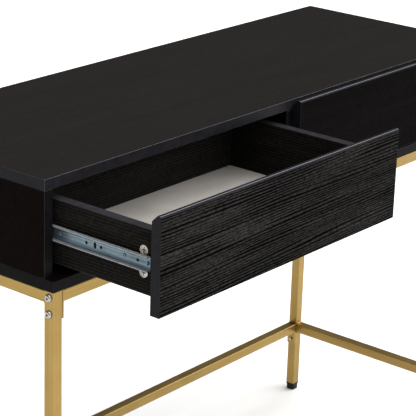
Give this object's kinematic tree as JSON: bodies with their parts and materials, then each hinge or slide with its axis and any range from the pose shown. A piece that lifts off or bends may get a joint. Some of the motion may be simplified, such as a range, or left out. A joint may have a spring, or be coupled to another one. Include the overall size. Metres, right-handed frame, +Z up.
{
  "type": "writing desk",
  "caption": "Narrow writing desk: a low black woodgrain case with handle-less drawers on ball-bearing slides, bolted to a satin gold square-tube frame with low stretchers",
  "frame": {"origin": "on the floor under the middle of the bounding box as the desk stands, with its left drawer open", "axes": "+X to the user's right along the worktop, +Y from front to back, +Z up"},
  "size_m": [1.1072, 0.576, 0.8],
  "materials": {
    "worktop_board": "black ash woodgrain melamine, satin",
    "case_board": "black ash woodgrain melamine, satin",
    "front_board": "black embossed woodgrain melamine, satin",
    "drawer_floor": "grey faced fibreboard, matt",
    "gold_frame": "satin gold coating on steel tube",
    "zinc_steel": "blue zinc plating",
    "cam_zinc": "bare zinc casting",
    "bolt_steel": "bright zinc plating",
    "black_plastic": "black moulded plastic"
  },
  "bodies": {
    "desk": {"back_panel": "case_board", "bottom_panel": "case_board", "divider": "case_board", "foot_front_left": "black_plastic", "foot_front_right": "black_plastic", "foot_rear_left": "black_plastic", "foot_rear_right": "black_plastic", "front_rail": "gold_frame", "front_rail_bolt_left_lower": "bolt_steel", "front_rail_bolt_left_upper": "bolt_steel", "front_rail_bolt_right_lower": "bolt_steel", "front_rail_bolt_right_upper": "bolt_steel", "left_drawer_slide_left_cabinet_member": "zinc_steel", "left_drawer_slide_right_cabinet_member": "zinc_steel", "rear_rail": "gold_frame", "rear_rail_bolt_left_lower": "bolt_steel", "rear_rail_bolt_left_upper": "bolt_steel", "rear_rail_bolt_right_lower": "bolt_steel", "rear_rail_bolt_right_upper": "bolt_steel", "rear_stretcher": "gold_frame", "rear_stretcher_bolt_left_lower": "bolt_steel", "rear_stretcher_bolt_left_upper": "bolt_steel", "rear_stretcher_bolt_right_lower": "bolt_steel", "rear_stretcher_bolt_right_upper": "bolt_steel", "right_drawer_slide_left_cabinet_member": "zinc_steel", "right_drawer_slide_right_cabinet_member": "zinc_steel", "side_frame_left": "gold_frame", "side_frame_right": "gold_frame", "side_panel_left": "case_board", "side_panel_right": "case_board", "worktop": "worktop_board"},
    "left_drawer": {"left_drawer_back": "case_board", "left_drawer_bottom": "drawer_floor", "left_drawer_cam_left_lower": "cam_zinc", "left_drawer_cam_left_upper": "cam_zinc", "left_drawer_cam_right_lower": "cam_zinc", "left_drawer_cam_right_upper": "cam_zinc", "left_drawer_front": "front_board", "left_drawer_side_left": "case_board", "left_drawer_side_right": "case_board", "left_drawer_slide_left_drawer_member": "zinc_steel", "left_drawer_slide_right_drawer_member": "zinc_steel"},
    "right_drawer": {"right_drawer_back": "case_board", "right_drawer_bottom": "drawer_floor", "right_drawer_cam_left_lower": "cam_zinc", "right_drawer_cam_left_upper": "cam_zinc", "right_drawer_cam_right_lower": "cam_zinc", "right_drawer_cam_right_upper": "cam_zinc", "right_drawer_front": "front_board", "right_drawer_side_left": "case_board", "right_drawer_side_right": "case_board", "right_drawer_slide_left_drawer_member": "zinc_steel", "right_drawer_slide_right_drawer_member": "zinc_steel"},
    "left_drawer_left_cage": {"left_drawer_slide_left_ball_cage": "zinc_steel"},
    "left_drawer_right_cage": {"left_drawer_slide_right_ball_cage": "zinc_steel"},
    "right_drawer_left_cage": {"right_drawer_slide_left_ball_cage": "zinc_steel"},
    "right_drawer_right_cage": {"right_drawer_slide_right_ball_cage": "zinc_steel"}
  },
  "joints": [
    {"name": "left_drawer_travel", "type": "slide", "parent": "desk", "child": "left_drawer", "axis": [0, -1, 0], "range_m": [-0.191, 0]},
    {"name": "right_drawer_travel", "type": "slide", "parent": "desk", "child": "right_drawer", "axis": [0, -1, 0], "range_m": [0, 0.191]},
    {"name": "left_drawer_cage_left_travel", "type": "slide", "parent": "desk", "child": "left_drawer_left_cage", "axis": [0, -1, 0], "range_m": [-0.0955, 0]},
    {"name": "left_drawer_cage_right_travel", "type": "slide", "parent": "desk", "child": "left_drawer_right_cage", "axis": [0, -1, 0], "range_m": [-0.0955, 0]},
    {"name": "right_drawer_cage_left_travel", "type": "slide", "parent": "desk", "child": "right_drawer_left_cage", "axis": [0, -1, 0], "range_m": [0, 0.0955]},
    {"name": "right_drawer_cage_right_travel", "type": "slide", "parent": "desk", "child": "right_drawer_right_cage", "axis": [0, -1, 0], "range_m": [0, 0.0955]}
  ],
  "couplings": [
    {"joint": "left_drawer_cage_left_travel", "follows": "left_drawer_travel", "ratio": 0.5},
    {"joint": "left_drawer_cage_right_travel", "follows": "left_drawer_travel", "ratio": 0.5},
    {"joint": "right_drawer_cage_left_travel", "follows": "right_drawer_travel", "ratio": 0.5},
    {"joint": "right_drawer_cage_right_travel", "follows": "right_drawer_travel", "ratio": 0.5}
  ]
}
